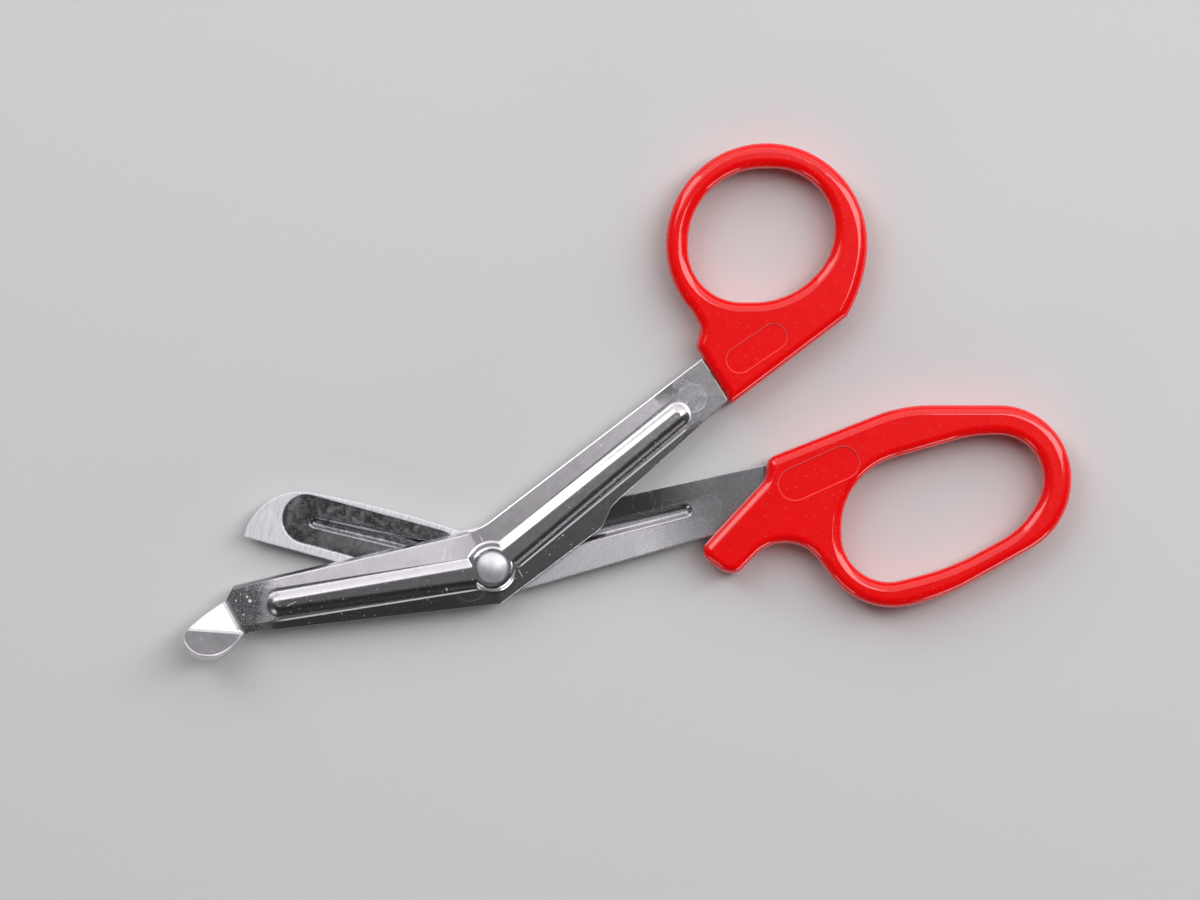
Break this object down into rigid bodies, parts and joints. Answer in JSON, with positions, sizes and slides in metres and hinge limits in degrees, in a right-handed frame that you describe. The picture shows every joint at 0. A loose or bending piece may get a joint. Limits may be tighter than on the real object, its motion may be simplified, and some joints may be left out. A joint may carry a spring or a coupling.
{
  "type": "bandage scissors",
  "caption": "Universal bandage scissors with a blunt probe foot on the lower blade, pressed stiffening ribs, a riveted pivot and moulded plastic handles with finger loops.",
  "frame": {"origin": "on the pivot axis, in the plane on which the pair lies flat (rear rivet head and the backs of both handles)", "axes": "+X from the blades towards the handles, +Z along the pivot axis towards the front member, +Y towards the thumb ring"},
  "size_m": [0.1828, 0.1064, 0.0111],
  "materials": {
    "front_steel": "satin, ground edges",
    "rear_steel": "satin, ground edges",
    "rivet_steel": "satin",
    "thumb_plastic": "glossy",
    "finger_plastic": "glossy"
  },
  "bodies": {
    "rear_half": {"plain_blade": "rear_steel", "finger_handle": "finger_plastic", "pivot_rivet": "rivet_steel"},
    "front_half": {"probe_blade": "front_steel", "thumb_handle": "thumb_plastic"}
  },
  "joints": [
    {"name": "pivot", "type": "hinge", "parent": "rear_half", "child": "front_half", "pos_m": [0, 0, 0.0042], "axis": [0, 0, 1], "range_deg": [-12.75, 155]}
  ]
}
